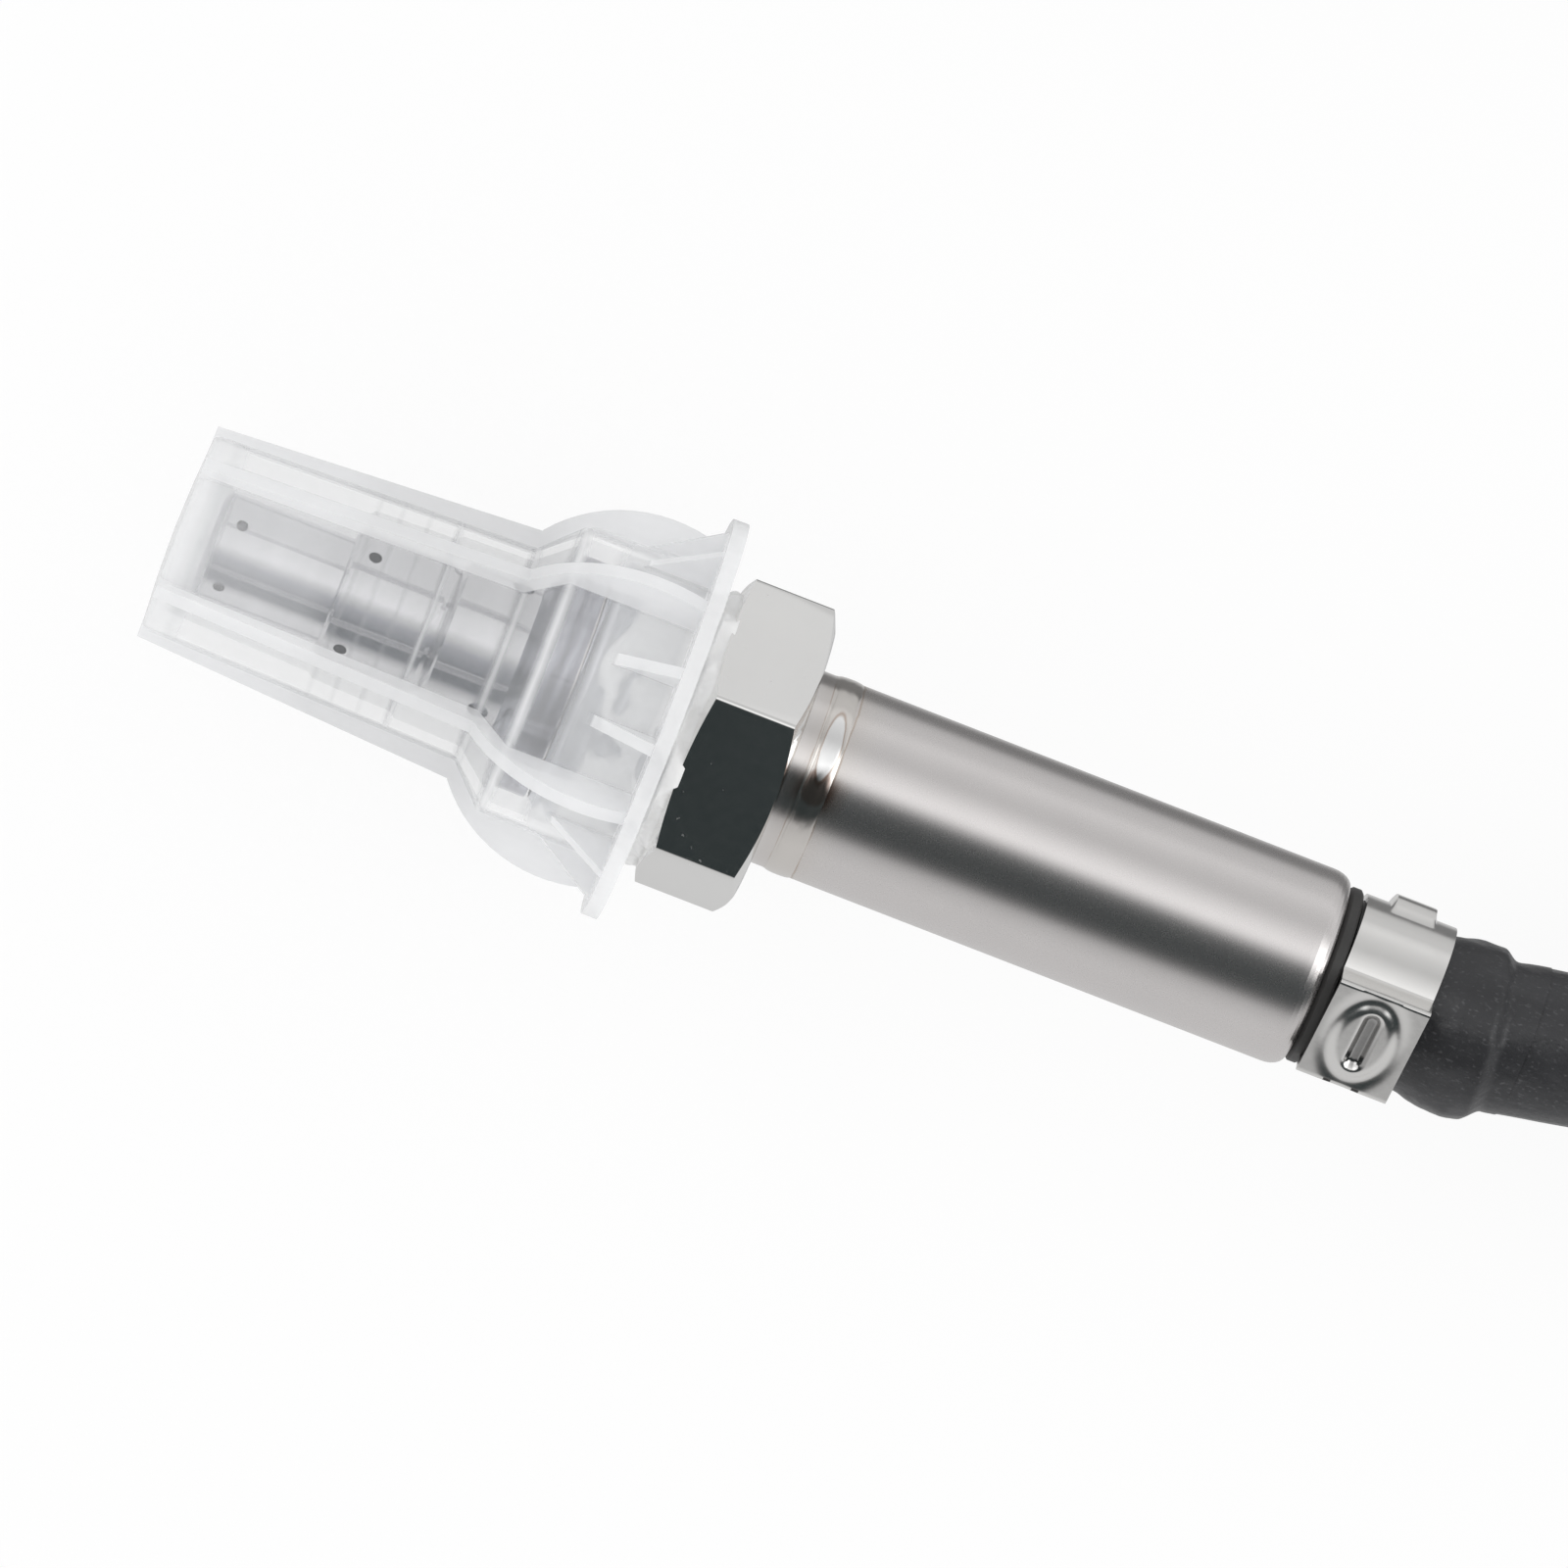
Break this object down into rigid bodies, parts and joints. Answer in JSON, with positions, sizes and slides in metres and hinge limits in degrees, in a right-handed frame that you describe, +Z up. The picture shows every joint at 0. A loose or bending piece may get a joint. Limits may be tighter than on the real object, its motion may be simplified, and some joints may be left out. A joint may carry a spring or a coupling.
{
  "type": "nitrogen oxide sensor",
  "caption": "Exhaust gas probe with a hexagon swivel nut, ribbed translucent protective cap, clamped black cable and a flat control unit with a plug socket.",
  "frame": {"origin": "on the probe axis, at the front face of the swivel nut's hexagon, where the thread ends", "axes": "+X along the probe axis towards the cable, +Z up; the cable and control unit lie on the +Y side"},
  "size_m": [0.2176, 0.1937, 0.0314],
  "materials": {
    "cap_plastic": "translucent natural polyethylene",
    "nut_steel": "machined",
    "housing_steel": "turned",
    "tube_steel": "drawn",
    "element_ceramic": "fired ceramic",
    "insulator_ceramic": "fired ceramic",
    "talc": "pressed powder",
    "weld_metal": "heat tinted",
    "sleeve_steel": "satin drawn",
    "contact_metal": "plated",
    "wire_plastic": "smooth",
    "grommet_rubber": "moulded",
    "clamp_steel": "satin",
    "cable_cover": "matte",
    "unit_plastic": "moulded",
    "base_aluminium": "pressed",
    "seal_rubber": "moulded",
    "screw_steel": "plated",
    "bush_steel": "turned",
    "board_laminate": "lacquered",
    "component_black": "moulded",
    "joint_plastic": "moulded",
    "pin_metal": "plated"
  },
  "bodies": {
    "sensor_body": {"probe_housing": "housing_steel", "outer_protection_tube": "tube_steel", "inner_protection_tube": "tube_steel", "sensing_element": "element_ceramic", "front_insulator": "insulator_ceramic", "talc_packing": "talc", "rear_insulator": "insulator_ceramic", "retaining_ring": "housing_steel", "weld_bead": "weld_metal", "sleeve": "sleeve_steel", "contact_holder": "insulator_ceramic", "contacts": "contact_metal", "lead_wires": "wire_plastic", "cable_grommet": "grommet_rubber", "ear_clamp": "clamp_steel", "cable_cover_end": "cable_cover", "cable": "cable_cover", "unit_housing": "unit_plastic", "base_plate": "base_aluminium", "unit_seal": "seal_rubber", "cover_screws": "screw_steel", "mounting_bushes": "bush_steel", "circuit_board": "board_laminate", "board_components": "component_black", "wire_joint": "joint_plastic", "unit_wires": "wire_plastic", "connector_pins": "pin_metal", "cable_gland": "grommet_rubber"},
    "nut_and_cap": {"swivel_nut": "nut_steel", "protective_cap": "cap_plastic"}
  },
  "joints": [
    {"name": "nut_swivel", "type": "hinge", "parent": "sensor_body", "child": "nut_and_cap", "pos_m": [0, 0, 0], "axis": [1, 0, 0], "continuous": true}
  ]
}
